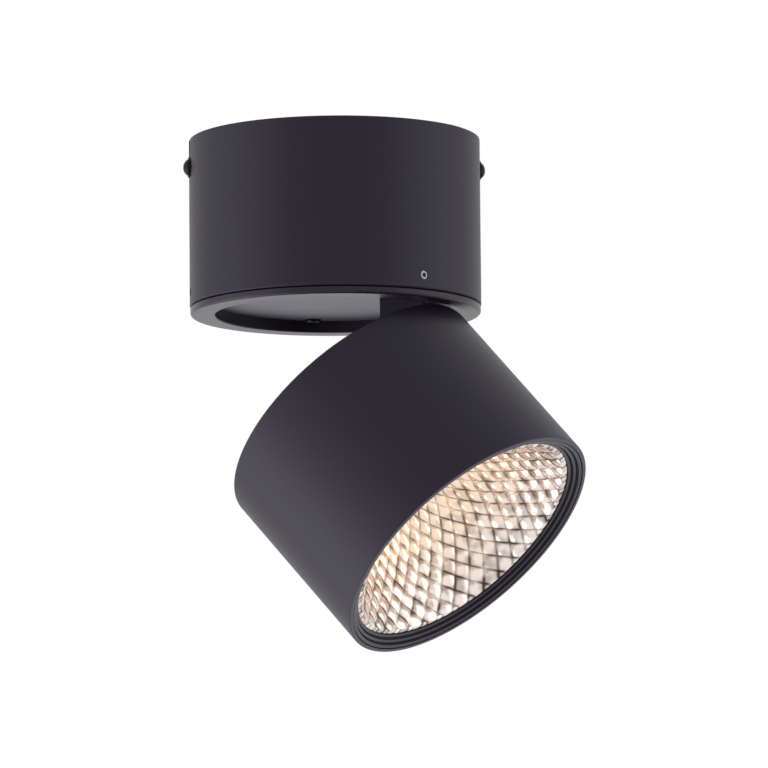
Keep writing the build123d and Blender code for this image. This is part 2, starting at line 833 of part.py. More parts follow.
# Bracket: a base under the floor plate and two cheeks that reach round the head's
# rear edge to the hinge screws. The hollow of the cheeks is the path of that edge.
corner_radius = hypot(head_radius - hinge_radius - rear_round, hinge_depth - rear_round) + rear_round
sweep_radius = corner_radius + sweep_gap
sweep_end = 180 - degrees(acos(sqrt(1 - (knuckle_radius / sweep_radius) ** 2)))
start_angle = degrees(acos((hinge_bracket_out - hinge_radius) / sweep_radius))
cheek_outer = hinge_bracket_width / 2
cheek_inner = cheek_outer - hinge_steel
with BuildPart() as hinge_bracket:
    with BuildSketch(upright(cheek_outer)):
        with BuildLine():
            pin = (hinge_radius, pin_height)
            hollow = CenterArc(pin, sweep_radius, start_angle, sweep_end - start_angle)
            knuckle = CenterArc(pin, knuckle_radius, 90, -180)
            Polyline(
                hollow @ 0,
                (hinge_bracket_out, floor_face),
                (hinge_bracket_in, floor_face),
                (hinge_bracket_in, floor_face - hinge_bracket_drop),
                (hinge_radius - knuckle_run, pin_height - knuckle_radius),
                knuckle @ 1,
            )
            Line(knuckle @ 0, hollow @ 1)
        make_face()
    extrude(amount=hinge_bracket_width)
    # Everything between the cheeks but the base is open
    with BuildSketch(upright(cheek_inner)):
        with Locations((hinge_radius / 2, floor_face - hinge_steel - cheek_reach / 2)):
            Rectangle(2 * hinge_radius, cheek_reach)
    extrude(amount=2 * cheek_inner, mode=Mode.SUBTRACT)
    pin_way = Plane(origin=pin_point - side_way * cheek_outer, z_dir=side_way)
    round_hole(pin_way, thread_radius + pin_gap, 2 * cheek_outer)
    with BuildSketch(level(floor_face)):
        with Locations(*bracket_screw_spots):
            Circle(thread_radius)
        with Locations((grommet_out, -lead_side)):
            Circle(grommet_radius)
    extrude(amount=-hinge_steel, mode=Mode.SUBTRACT)
hinge_bracket.part.label = "hinge_bracket"
export_step(hinge_bracket.part, "parts/hinge_bracket.step")

with BuildPart() as hinge_bracket_screws:
    for out, side in bracket_screw_spots:
        seat = facing(level(ledge_face, out, side).origin, (0, 0, 1))
        headed_screw(seat, pan_radius, pan_height, floor_thickness + hinge_steel)
hinge_bracket_screws.part.label = "hinge_bracket_screws"
export_step(hinge_bracket_screws.part, "parts/hinge_bracket_screws.step")

with BuildPart() as lead_grommet:
    sleeve = level(floor_face - hinge_steel, grommet_out, -lead_side)
    sleeve_length = floor_thickness + hinge_steel + grommet_flange_thickness
    round_piece(sleeve, grommet_radius, sleeve_length)
    flange = level(ledge_face, grommet_out, -lead_side)
    round_piece(flange, grommet_radius + grommet_flange, grommet_flange_thickness)
    round_hole(sleeve, lead_radius + lead_gap, sleeve_length)
lead_grommet.part.label = "lead_grommet"
export_step(lead_grommet.part, "parts/lead_grommet.step")

# From the swivel axis to the hinge axis: it twists at the one and bends at the other.
lead_turn = lead_side - lead_meeting_gap


def turntable_point(out, side, height):
    return hinge_way * out + side_way * side + up * height


with BuildPart() as swivel_lead:
    lead_tube(
        "swivel_lead",
        [
            turntable_point(0, 0, lead_meeting),
            turntable_point(0, 0, lead_level),
            turntable_point(grommet_out, -lead_side, lead_level),
            turntable_point(grommet_out, -lead_side, pin_height),
            turntable_point(hinge_radius, -lead_side, pin_height),
            turntable_point(hinge_radius, 0, pin_height),
        ],
        [lead_wide_bend, lead_tight_bend, lead_wide_bend, lead_turn],
    )
swivel_lead.part.label = "swivel_lead"
export_step(swivel_lead.part, "parts/swivel_lead.step")

# Yoke on the heat sink: two ears that the hinge screws are threaded into
ear_inner = cheek_outer + friction_washer_thickness + 2 * face_gap
ear_outer = ear_inner + yoke_steel
yoke_root_out = hinge_radius - yoke_root_inset
yoke_foot = hinge_radius - yoke_foot_run
yoke_in = yoke_foot - yoke_foot_length
yoke_screw_out = (yoke_in + yoke_foot) / 2
rear_depth = head_length - hinge_depth
sink_rear = head_length - sink_back
with BuildPart() as hinge_yoke:
    with BuildSketch(along(ear_outer)):
        with BuildLine():
            knuckle = CenterArc((hinge_radius, rear_depth), yoke_knuckle_radius, 0, 180)
            Polyline(
                knuckle @ 0,
                (yoke_root_out, sink_rear),
                (yoke_foot, sink_rear),
                (yoke_foot, sink_rear + yoke_steel),
                knuckle @ 1,
            )
        make_face()
    extrude(amount=2 * ear_outer)
    with BuildSketch(along(ear_inner)):
        with Locations((hinge_radius, head_length / 2 + sink_rear + yoke_steel)):
            Rectangle(2 * hinge_radius, head_length)
    extrude(amount=2 * ear_inner, mode=Mode.SUBTRACT)
    with BuildSketch(across(sink_back)):
        with Locations((yoke_screw_out + yoke_steel / 2, 0)):
            Rectangle(yoke_foot_length + yoke_steel, 2 * ear_outer)
    extrude(amount=-yoke_steel)
    round_hole(Plane(origin=pin_point - side_way * ear_outer, z_dir=side_way), thread_radius, 2 * ear_outer)
    with BuildSketch(across(sink_back)):
        with GridLocations(0, 2 * yoke_screw_side, 1, 2):
            with Locations((yoke_screw_out, 0)):
                Circle(thread_radius + hole_gap)
    extrude(amount=-yoke_steel, mode=Mode.SUBTRACT)
hinge_yoke.part.label = "hinge_yoke"
export_step(hinge_yoke.part, "parts/hinge_yoke.step")

with BuildPart() as yoke_screws:
    for side in (yoke_screw_side, -yoke_screw_side):
        point = rear_centre + beam * (sink_back - yoke_steel) + lift * yoke_screw_out + side_way * side
        reach = yoke_steel + sink_thickness - yoke_screw_tip
        headed_screw(facing(point, -beam), pan_radius, pan_height, reach)
yoke_screws.part.label = "yoke_screws"
export_step(yoke_screws.part, "parts/yoke_screws.step")

with BuildPart() as hinge_screws:
    for way in (side_way, -side_way):
        seat = facing(pin_point + way * (cheek_inner - face_gap), -way)
        round_piece(seat, pan_radius, hinge_screw_head)
        round_piece(seat, thread_radius - hinge_thread_gap, -(ear_outer - cheek_inner + face_gap))
hinge_screws.part.label = "hinge_screws"
export_step(hinge_screws.part, "parts/hinge_screws.step")

with BuildPart() as friction_washers:
    for way in (side_way, -side_way):
        face = facing(pin_point + way * (cheek_outer + face_gap), way)
        round_piece(face, friction_washer_radius, friction_washer_thickness)
        round_hole(face, thread_radius + washer_bore_gap, friction_washer_thickness)
friction_washers.part.label = "friction_washers"
export_step(friction_washers.part, "parts/friction_washers.step")

# Cup with a closed rear wall, slotted and pocketed where the hinge enters.
head_inside = head_radius - head_wall
mouth_inside = head_radius - mouth_wall
seat_depth = mouth_depth + rim_thickness
pocket_radius = head_radius - pocket_skin
pocket_half_width = ear_outer + pocket_gap
pocket_start = hinge_radius - pocket_run
pocket_depth = sink_back - rear_wall - pocket_floor
sink_radius = head_inside - sink_gap
boss_circle = sink_radius - boss_inset
head_lead_out = yoke_in - head_lead_inset
fin_end = head_lead_out - fin_lead_gap
with BuildPart() as head_shell:
    with BuildSketch(along()):
        with BuildLine():
            Polyline(
                (mouth_inside, 0),
                (head_radius, 0),
                (head_radius, head_length),
                (0, head_length),
                (0, head_length - rear_wall),
                (head_inside, head_length - rear_wall),
                (head_inside, seat_depth + seat_height),
                (head_inside - seat_width, seat_depth + seat_height),
                (head_inside - seat_width, seat_depth),
                (head_inside, seat_depth),
                (head_inside, mouth_depth),
                (mouth_inside, mouth_depth),
                close=True,
            )
        make_face()
    revolve(axis=Axis(front_centre, beam))
    outer_rims = head_shell.edges().filter_by(GeomType.CIRCLE).group_by(SortBy.RADIUS)[-1]
    fillet(outer_rims.sort_by(Axis(rear_centre, beam))[0], rear_round)
    outer_rims = head_shell.edges().filter_by(GeomType.CIRCLE).group_by(SortBy.RADIUS)[-1]
    fillet(outer_rims.sort_by(Axis(rear_centre, beam))[-1], front_round)
    slot_start = hinge_bracket_in - slot_gap
    with BuildSketch(across(0)):
        Circle(pocket_radius)
        with Locations((slot_start + head_radius / 2, 0)):
            Rectangle(head_radius, 2 * (cheek_outer + slot_gap), mode=Mode.INTERSECT)
    extrude(amount=rear_wall, mode=Mode.SUBTRACT)
    with BuildSketch(across(rear_wall)):
        Circle(pocket_radius)
        with Locations((pocket_start + head_radius / 2, 0)):
            Rectangle(head_radius, 2 * pocket_half_width, mode=Mode.INTERSECT)
    extrude(amount=pocket_depth, mode=Mode.SUBTRACT)
    with Locations(Plane(origin=rear_centre, x_dir=lift, z_dir=-beam)):
        with PolarLocations(boss_circle, boss_count, 90, 180, endpoint=True):
            CounterSinkHole(thread_radius + hole_gap, sink_head_radius + sink_head_gap, depth=rear_wall)
head_shell.part.label = "head_shell"
export_step(head_shell.part, "parts/head_shell.step")

with BuildPart() as heat_sink:
    with BuildSketch(across(sink_back)):
        Circle(sink_radius)
    extrude(amount=sink_thickness)
    with BuildSketch(across(sink_back)):
        with Locations(((fin_end - head_radius) / 2, 0)):
            with GridLocations(0, fin_pitch, 1, fin_count):
                Rectangle(fin_end + head_radius, fin_thickness)
        Circle(sink_radius - fin_inset, mode=Mode.INTERSECT)
    extrude(amount=-fin_height)
    with BuildSketch(across(sink_back)):
        with PolarLocations(boss_circle, boss_count, 90, 180, endpoint=True):
            Circle(boss_radius)
    extrude(amount=rear_wall - sink_back)
    with BuildSketch(across(rear_wall)):
        with PolarLocations(boss_circle, boss_count, 90, 180, endpoint=True):
            Circle(thread_radius)
    extrude(amount=sink_screw_length, mode=Mode.SUBTRACT)
    with BuildSketch(across(sink_back)):
        with GridLocations(0, 2 * yoke_screw_side, 1, 2):
            with Locations((yoke_screw_out, 0)):
                Circle(thread_radius)
        with GridLocations(0, 2 * holder_screw_side, 1, 2):
            Circle(thread_radius)
        with Locations((head_lead_out, -lead_side)):
            Circle(lead_radius + lead_gap)
    extrude(amount=sink_thickness, mode=Mode.SUBTRACT)
heat_sink.part.label = "heat_sink"
export_step(heat_sink.part, "parts/heat_sink.step")

# Countersunk screws from behind, into the heat sink's bosses
with BuildPart() as heat_sink_screws:
    for turn in range(boss_count):
        angle = radians(90 + 180 * turn / (boss_count - 1))
        spot = rear_centre + lift * (boss_circle * cos(angle)) + side_way * (boss_circle * sin(angle))
        with BuildSketch(Plane(origin=spot, x_dir=lift, z_dir=side_way)):
            with BuildLine():
                Polyline(
                    (0, 0),
                    (sink_head_radius, 0),
                    (shank_radius, sink_head_depth),
                    (shank_radius, sink_screw_length),
                    (0, sink_screw_length),
                    close=True,
                )
            make_face()
        revolve(axis=Axis(spot, -beam))
heat_sink_screws.part.label = "heat_sink_screws"
export_step(heat_sink_screws.part, "parts/heat_sink_screws.step")

led_back = sink_back + sink_thickness
with BuildPart() as led_board:
    with BuildSketch(across(led_back)):
        Rectangle(led_side, led_side)
    extrude(amount=led_thickness)
led_board.part.label = "led_board"
export_step(led_board.part, "parts/led_board.step")

with BuildPart() as led_emitter:
    round_piece(across(led_back + led_thickness), emitter_radius, emitter_thickness)
led_emitter.part.label = "led_emitter"
export_step(led_emitter.part, "parts/led_emitter.step")

# Moulded holder that clamps the board and carries the reflector's throat
with BuildPart() as led_holder:
    round_piece(across(led_back), holder_radius, holder_thickness)
    with BuildSketch(across(led_back)):
        Rectangle(led_side + 2 * led_gap, led_side + 2 * led_gap)
    extrude(amount=led_thickness, mode=Mode.SUBTRACT)
    round_hole(across(led_back), holder_opening, holder_thickness)
    opening_rims = led_holder.edges().filter_by(GeomType.CIRCLE).group_by(SortBy.RADIUS)[0]
    chamfer(opening_rims.sort_by(Axis(rear_centre, beam))[-1], throat_radius - holder_opening - holder_lip)
    with BuildSketch(across(led_back)):
        with GridLocations(0, 2 * holder_screw_side, 1, 2):
            Circle(thread_radius + hole_gap)
    extrude(amount=holder_thickness, mode=Mode.SUBTRACT)
    with BuildSketch(across(led_back + holder_thickness)):
        with GridLocations(0, 2 * holder_screw_side, 1, 2):
            Circle(pan_radius + hole_gap)
    extrude(amount=-holder_sink, mode=Mode.SUBTRACT)
led_holder.part.label = "led_holder"
export_step(led_holder.part, "parts/led_holder.step")

with BuildPart() as holder_screws:
    for side in (holder_screw_side, -holder_screw_side):
        floor = holder_thickness - holder_sink
        seat = facing(rear_centre + beam * (led_back + floor) + side_way * side, beam)
        headed_screw(seat, pan_radius, pan_height, floor + sink_thickness)
holder_screws.part.label = "holder_screws"
export_step(holder_screws.part, "parts/holder_screws.step")


def head_point(out, side, depth):
    return rear_centre + lift * out + side_way * side + beam * depth


with BuildPart() as head_lead:
    lead_tube(
        "head_lead",
        [
            head_point(hinge_radius, 0, hinge_depth),
            head_point(hinge_radius, lead_side, hinge_depth),
            head_point(head_lead_out, lead_side, hinge_depth),
            head_point(head_lead_out, lead_side, led_back),
        ],
        [lead_turn, lead_board_bend],
    )
head_lead.part.label = "head_lead"
export_step(head_lead.part, "parts/head_lead.step")


# The bowl is a paraboloid, pressed over a faceted punch: two families of spirals
# cross on it, so its facets are diamonds, an equal step apart along the wall.
mouth_radius = head_inside - mouth_inset
bowl_depth = head_length - mouth_depth - led_back - holder_thickness - throat_gap


def bowl_radius(depth):
    return sqrt(throat_radius**2 + (mouth_radius**2 - throat_radius**2) * (1 - depth / bowl_depth))


def row_depths(steps_per_row=200):
    # Rows are counted up the wall from the throat; the last one lies in front of the mouth.
    depth = bowl_depth
    rows = [depth]
    while rows[-1] > -rim_thickness:
        for step in range(steps_per_row):
            slope = (mouth_radius**2 - throat_radius**2) / bowl_depth / (2 * bowl_radius(depth))
            depth -= facet_step / steps_per_row / hypot(1, slope)
        rows.append(depth)
    return rows


def facet_ring(depth, radius, turn):
    points = []
    for index in range(facets_round):
        angle = radians(360 / facets_round * (index + turn) + facet_turn)
        spoke = lift * (radius * cos(angle)) + side_way * (radius * sin(angle))
        points.append(front_centre - beam * (mouth_depth + depth) + spoke)
    return points


def facet_punch():
    # Grooves cross at the rings' points; between two of them lies a facet's crown.
    rows = row_depths()
    last = len(rows) - 1
    rings = [facet_ring(depth, bowl_radius(depth), row % 2 / 2) for row, depth in enumerate(rows)]
    crowns = []
    for row, depth in enumerate(rows):
        radius = bowl_radius(depth) * cos(pi / facets_round)
        crowns.append(facet_ring(depth, radius * (1 - facet_rise * pi / facets_round), row % 2 / 2 + 0.5))
    outlet = facet_ring(bowl_depth + punch_overrun, throat_radius, 0)
    loops = [rings[-1], outlet]
    for index in range(facets_round):
        ahead = (index + 1) % facets_round
        loops.append([rings[0][index], rings[0][ahead], outlet[ahead], outlet[index]])
        for row in range(last + 1):
            left, right = rings[row][index], rings[row][ahead]
            tip = ahead if row % 2 else index
            near = rings[row - 1][tip] if row > 0 else None
            far = rings[row + 1][tip] if row < last else None
            if near is None or far is None:
                loops.append([left, right, near or far])
                continue
            crown = crowns[row][index]
            loops += [[left, near, crown], [near, right, crown], [right, far, crown], [far, left, crown]]
    return Solid(Shell([Face(Wire.make_polygon(loop)) for loop in loops]))


mouth_slope = (mouth_radius**2 - throat_radius**2) / bowl_depth / (2 * mouth_radius)
bowl_run = mouth_radius - throat_radius
throat_depth = mouth_depth + bowl_depth
with BuildPart() as reflector:
    with BuildSketch(along()):
        with BuildLine():
            wall = Bezier(
                (mouth_radius + bowl_wall, mouth_depth),
                (mouth_radius + bowl_wall - bowl_run / 2, mouth_depth + bowl_run / 2 / mouth_slope),
                (throat_radius + bowl_wall, throat_depth),
            )
            Polyline(wall @ 1, (0, throat_depth), (0, mouth_depth), wall @ 0)
        make_face()
        with Locations(((mouth_radius + rim_width) / 2, mouth_depth + rim_thickness / 2)):
            Rectangle(mouth_radius + rim_width, rim_thickness)
    revolve(axis=Axis(front_centre, beam))
    add(facet_punch(), mode=Mode.SUBTRACT)
reflector.part.label = "reflector"
export_step(reflector.part, "parts/reflector.step")

# Black baffle: it stands on the shell's shoulder and steps down to the reflector,
# each step sloping inwards so that the rim stays dark from the side.
baffle_radius = mouth_inside - baffle_gap
baffle_outline = [(baffle_radius, mouth_depth)]
for step in range(baffle_count):
    depth = baffle_gap + step * baffle_pitch
    baffle_outline.append((baffle_radius - step * baffle_step, depth))
    baffle_outline.append((baffle_radius - (step + 1) * baffle_step, depth + baffle_slope))
baffle_outline.append((baffle_radius - baffle_count * baffle_step, mouth_depth))
with BuildPart() as baffle_ring:
    with BuildSketch(along()):
        with BuildLine():
            Polyline(*baffle_outline, close=True)
        make_face()
    revolve(axis=Axis(front_centre, beam))
baffle_ring.part.label = "baffle_ring"
export_step(baffle_ring.part, "parts/baffle_ring.step")
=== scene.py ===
import bmesh
import bpy
import json
from math import atan2, cos, hypot, pi, radians, sin, sqrt
from mathutils import Matrix, Vector


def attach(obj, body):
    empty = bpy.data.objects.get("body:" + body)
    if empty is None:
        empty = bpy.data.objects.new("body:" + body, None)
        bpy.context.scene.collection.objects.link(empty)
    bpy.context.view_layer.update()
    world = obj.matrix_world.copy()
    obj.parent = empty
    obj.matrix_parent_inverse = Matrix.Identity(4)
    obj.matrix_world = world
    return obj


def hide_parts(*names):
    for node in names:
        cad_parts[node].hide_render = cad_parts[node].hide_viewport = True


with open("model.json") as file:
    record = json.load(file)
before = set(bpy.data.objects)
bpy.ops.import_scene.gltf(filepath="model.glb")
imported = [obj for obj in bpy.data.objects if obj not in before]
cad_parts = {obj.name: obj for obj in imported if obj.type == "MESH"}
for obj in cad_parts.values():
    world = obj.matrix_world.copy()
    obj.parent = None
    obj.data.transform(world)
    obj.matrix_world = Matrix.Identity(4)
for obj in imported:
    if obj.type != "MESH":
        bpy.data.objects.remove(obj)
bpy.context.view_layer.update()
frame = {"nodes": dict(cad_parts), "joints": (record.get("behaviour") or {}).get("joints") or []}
nodes = frame["nodes"]
joints = {joint["name"]: joint for joint in frame["joints"]}
scene = bpy.context.scene
scene.view_settings.view_transform = "Standard"
mm = 0.001
print("frame loaded", len(nodes), "nodes")


# where the lamp head is: its own axes, with the middle of its front rim at zero
place = {
    "swivelAngle": -36.4,  # of the hinge, from the side screws' line
    "tilt": 42.6,          # of the head, from straight down
    "hingeDepth": 8.2,     # of the hinge pin in the head, from its rear face
    "hingeOut": 44.2,      # of the hinge pin from the head's axis
    "headLength": 66.5,
}
outWay = Vector((cos(radians(place["swivelAngle"])), sin(radians(place["swivelAngle"])), 0))
upWay = Vector((0, 0, 1))
beamWay = outWay * sin(radians(place["tilt"])) - upWay * cos(radians(place["tilt"]))
liftWay = outWay * cos(radians(place["tilt"])) + upWay * sin(radians(place["tilt"]))
pinPoint = Vector(joints["tilt"]["pos_m"]) / mm
frontCentre = pinPoint - liftWay * place["hingeOut"] + beamWay * (place["headLength"] - place["hingeDepth"])
headTurn = Matrix((liftWay, beamWay.cross(liftWay), beamWay)).transposed().to_4x4()
headPlace = Matrix.Scale(mm, 4) @ Matrix.Translation(frontCentre) @ headTurn  # from mm in the head to metres


# finishes: colours are sRGB, and sizes of grain, cloud and relief are in mm
def srgb(code):
    parts = [int(code[i:i + 2], 16) / 255 for i in (1, 3, 5)]
    return [p / 12.92 if p <= 0.04045 else ((p + 0.055) / 1.055) ** 2.4 for p in parts] + [1]


def patternScale(size):  # of a texture in metres, from the size of its grain in mm
    return 1000 / size


# a colour Mix node takes its two colours at inputs 6 and 7, and gives the result at output 2
def addNode(tree, kind, settings=None, links=None):
    node = tree.nodes.new(kind)
    for key, value in (settings or {}).items():
        if isinstance(key, str) and hasattr(node, key):
            setattr(node, key, value)
        else:
            node.inputs[key].default_value = value
    for key, source in (links or {}).items():
        tree.links.new(source, node.inputs[key])
    return node


def newMaterial(name):
    material = bpy.data.materials.new(name)
    material.use_nodes = True
    tree = material.node_tree
    surface = tree.nodes["Principled BSDF"]
    objectSpace = addNode(tree, "ShaderNodeTexCoord").outputs["Object"]
    return material, tree, surface, objectSpace


def paintNodes(material, names):
    for name in names:
        mesh = nodes[name].data
        mesh.materials.clear()
        mesh.materials.append(material)


def powderCoat(name, finish):
    # polyester powder baked on metal: nearly black, fine orange peel, a soft sheen towards the edges
    material, tree, surface, objectSpace = newMaterial(name)
    grain = addNode(tree, "ShaderNodeTexNoise", {"Scale": patternScale(finish["grainSize"]), "Detail": 2.0},
                    {"Vector": objectSpace})
    cloud = addNode(tree, "ShaderNodeTexNoise", {"Scale": patternScale(finish["cloudSize"]), "Detail": 3.0},
                    {"Vector": objectSpace})
    shade = addNode(tree, "ShaderNodeMix",
                    {"data_type": "RGBA", 6: srgb(finish["dark"]), 7: srgb(finish["light"])},
                    {0: cloud.outputs["Fac"]})
    rough = addNode(tree, "ShaderNodeMapRange", {"To Min": finish["roughness"] - finish["uneven"],
                                                 "To Max": finish["roughness"] + finish["uneven"]},
                    {"Value": grain.outputs["Fac"]})
    peel = addNode(tree, "ShaderNodeBump", {"Strength": finish["peel"], "Distance": finish["peelDepth"] * mm},
                   {"Height": grain.outputs["Fac"]})
    colour = shade.outputs[2]
    if "paintedRimSheen" in finish:  # a lighter colour on the head's front rim: painted highlight, the sheen its edge catches
        along = addNode(tree, "ShaderNodeVectorMath", {"operation": "DOT_PRODUCT", 1: beamWay},
                        {0: objectSpace})
        front = beamWay.dot(frontCentre) * mm
        rim = addNode(tree, "ShaderNodeMapRange",
                      {"From Min": front - finish["paintedRimSheenFade"] * mm, "From Max": front},
                      {"Value": along.outputs["Value"]})
        colour = addNode(tree, "ShaderNodeMix", {"data_type": "RGBA", 7: srgb(finish["paintedRimSheen"])},
                         {0: rim.outputs["Result"], 6: colour}).outputs[2]
    tree.links.new(colour, surface.inputs["Base Color"])
    tree.links.new(rough.outputs["Result"], surface.inputs["Roughness"])
    tree.links.new(peel.outputs["Normal"], surface.inputs["Normal"])
    surface.inputs["IOR"].default_value = finish["ior"]
    surface.inputs["Specular Tint"].default_value = srgb(finish["glint"])
    return material


def metal(name, finish):
    # bare or plated metal: its colour, a little uneven in gloss, over a fine grain
    material, tree, surface, objectSpace = newMaterial(name)
    grain = addNode(tree, "ShaderNodeTexNoise", {"Scale": patternScale(finish["grainSize"]), "Detail": 3.0},
                    {"Vector": objectSpace})
    shade = addNode(tree, "ShaderNodeMix",
                    {"data_type": "RGBA", 6: srgb(finish["dark"]), 7: srgb(finish["light"])},
                    {0: grain.outputs["Fac"]})
    rough = addNode(tree, "ShaderNodeMapRange", {"To Min": finish["roughness"] - finish["uneven"],
                                                 "To Max": finish["roughness"] + finish["uneven"]},
                    {"Value": grain.outputs["Fac"]})
    relief = addNode(tree, "ShaderNodeBump",
                     {"Strength": finish["relief"], "Distance": finish["reliefDepth"] * mm},
                     {"Height": grain.outputs["Fac"]})
    tree.links.new(shade.outputs[2], surface.inputs["Base Color"])
    tree.links.new(rough.outputs["Result"], surface.inputs["Roughness"])
    tree.links.new(relief.outputs["Normal"], surface.inputs["Normal"])
    surface.inputs["Metallic"].default_value = 1.0
    return material


def plastic(name, finish):
    # moulded plastic: an even colour with a slight flow mottle and a fine spark-eroded skin
    material, tree, surface, objectSpace = newMaterial(name)
    flow = addNode(tree, "ShaderNodeTexNoise", {"Scale": patternScale(finish["flowSize"]), "Detail": 2.0},
                   {"Vector": objectSpace})
    skin = addNode(tree, "ShaderNodeTexNoise", {"Scale": patternScale(finish["skinSize"]), "Detail": 2.0},
                   {"Vector": objectSpace})
    shade = addNode(tree, "ShaderNodeMix",
                    {"data_type": "RGBA", 6: srgb(finish["dark"]), 7: srgb(finish["light"])},
                    {0: flow.outputs["Fac"]})
    relief = addNode(tree, "ShaderNodeBump",
                     {"Strength": finish["relief"], "Distance": finish["reliefDepth"] * mm},
                     {"Height": skin.outputs["Fac"]})
    colour = shade.outputs[2]
    if "stripe" in finish:  # a second colour, laid round a twisted lead
        wave = addNode(tree, "ShaderNodeTexWave",
                       {"bands_direction": "DIAGONAL", "Scale": finish["bandScale"] / finish["stripePitch"]},
                       {"Vector": objectSpace})
        band = addNode(tree, "ShaderNodeMapRange",
                       {"From Min": finish["stripeEdge"][0], "From Max": finish["stripeEdge"][1]},
                       {"Value": wave.outputs["Fac"]})
        colour = addNode(tree, "ShaderNodeMix", {"data_type": "RGBA", 7: srgb(finish["stripe"])},
                         {0: band.outputs["Result"], 6: colour}).outputs[2]
    tree.links.new(colour, surface.inputs["Base Color"])
    tree.links.new(relief.outputs["Normal"], surface.inputs["Normal"])
    surface.inputs["Roughness"].default_value = finish["roughness"]
    surface.inputs["IOR"].default_value = finish["ior"]
    return material


# what the coats share, and then how each differs and which nodes it is on
plainCoat = {"dark": "#140f1a", "light": "#18131f", "grainSize": 0.5, "cloudSize": 30.0, "roughness": 0.46,
             "uneven": 0.04, "peel": 0.35, "peelDepth": 0.02, "ior": 1.35, "glint": "#f3edff"}
coats = {
    "housingPowderCoat": {"on": ["canopy_housing"]},
    # the head's front rim takes a lighter colour, a painted highlight
    "headPowderCoat": {"on": ["head_shell"], "paintedRimSheen": "#4f4b55", "paintedRimSheenFade": 0.3},
    "ringPowderCoat": {"on": ["turntable_ring"], "dark": "#17121b", "light": "#1b161f", "roughness": 0.34,
                       "peelDepth": 0.01, "ior": 1.37},
    # the floor plate is black like the ring; its light grey here is painted light from the bright floor below
    "plateLitGreyPaint": {"on": ["floor_plate"], "dark": "#413d47", "light": "#47434d", "grainSize": 0.4,
                        "cloudSize": 25.0, "roughness": 0.4, "ior": 1.45},
    "bracketPowderCoat": {"on": ["hinge_bracket"], "dark": "#110d15", "light": "#151118", "roughness": 0.55,
                          "ior": 1.34},
}
for name, finish in coats.items():
    paintNodes(powderCoat(name, {**plainCoat, **finish}), finish["on"])

plainMetal = {"uneven": 0.05, "relief": 0.15, "reliefDepth": 0.02}
metals = {
    "blackenedSteel": {  # near black, with a dull shine
        "on": ["side_screws", "side_washers", "floor_screws", "heat_sink_screws"],
        "dark": "#1c1b20", "light": "#26252a", "grainSize": 0.6, "roughness": 0.42},
    "zincPlatedSteel": {  # a cool pale grey, faintly cloudy
        "on": ["ceiling_bracket", "earth_lug", "earth_screw", "terminal_screws", "terminal_block_screws",
               "driver_screws", "hinge_bracket_screws", "hinge_yoke", "yoke_screws", "hinge_screws",
               "holder_screws"],
        "dark": "#a9a9a8", "light": "#c3c4c6", "grainSize": 1.5, "roughness": 0.36},
    "stainlessSteel": {  # turned: a darker, warmer grey
        "on": ["swivel_set_screws"],
        "dark": "#7c7a7a", "light": "#918f8e", "grainSize": 0.4, "roughness": 0.4},
    "castAluminium": {  # left as cast: pale and grainy
        "on": ["heat_sink", "led_board"],
        "dark": "#b5b6b8", "light": "#cdced0", "grainSize": 0.8, "roughness": 0.5, "relief": 0.5},
    "brass": {  # turned: yellow and fairly bright
        "on": ["terminal_tubes"],
        "dark": "#b08d4a", "light": "#cda85f", "grainSize": 0.5, "roughness": 0.3},
}
for name, finish in metals.items():
    paintNodes(metal(name, {**plainMetal, **finish}), finish["on"])

# bright aluminium pressed over a faceted punch: mirror pillows, rougher down in their grooves, where a brown
# colour is painted shade that stands for the dark surroundings they reflect
mirror = {
    "crown": "#f0e3db", "lampLitCrown": "#ffe5cb", "crownRoughness": 0.2,  # at the mouth, and near the lamp, where the warmer colour is painted lamp light
    # the grooves' brown is painted shade, not a colour of the metal
    "groove": "#49392f", "grooveRoughness": 0.4,
    "mouth": 6.0, "deep": 27.0,  # depths from the front rim between which painted warm lamp light spreads over the metal
    "waveSize": 3.6, "relief": 0.5, "reliefDepth": 0.12,  # the pressed sheet isn't quite even
    "waves": (0.3, 0.7), "shadeScatter": 0.33,  # the waves' range, and how far they spread the grooves' painted shade
    "mouthShade": 0.1, "deepShade": -0.12,  # more of that painted shade at the mouth, less near the lamp
}
facetedAluminium, tree, surface, objectSpace = newMaterial("facetedAluminium")
grooves = addNode(tree, "ShaderNodeAttribute", {"attribute_name": "groove"})
polish = addNode(tree, "ShaderNodeTexNoise", {"Scale": patternScale(mirror["waveSize"]), "Detail": 0.0},
                 {"Vector": objectSpace})
shadeScatter = addNode(tree, "ShaderNodeMapRange", {"From Min": mirror["waves"][0], "From Max": mirror["waves"][1],
                                            "To Min": -mirror["shadeScatter"], "To Max": mirror["shadeScatter"]},
               {"Value": polish.outputs["Fac"]})
along = addNode(tree, "ShaderNodeVectorMath", {"operation": "DOT_PRODUCT", 1: beamWay}, {0: objectSpace})
front = beamWay.dot(frontCentre)
down = addNode(tree, "ShaderNodeMapRange", {"From Min": (front - mirror["mouth"]) * mm,
                                            "From Max": (front - mirror["deep"]) * mm},
               {"Value": along.outputs["Value"]})
# the crown colour warms with depth: painted light of the lamp
crown = addNode(tree, "ShaderNodeMix",
                {"data_type": "RGBA", 6: srgb(mirror["crown"]), 7: srgb(mirror["lampLitCrown"])},
                {0: down.outputs["Result"]})
depthShade = addNode(tree, "ShaderNodeMapRange", {"To Min": mirror["mouthShade"], "To Max": mirror["deepShade"]},
               {"Value": down.outputs["Result"]})
scatteredShade = addNode(tree, "ShaderNodeMath", {"operation": "ADD"},
                 {0: shadeScatter.outputs["Result"], 1: depthShade.outputs["Result"]})
depth = addNode(tree, "ShaderNodeMath", {"operation": "ADD", "use_clamp": True},
                {0: grooves.outputs["Fac"], 1: scatteredShade.outputs[0]})
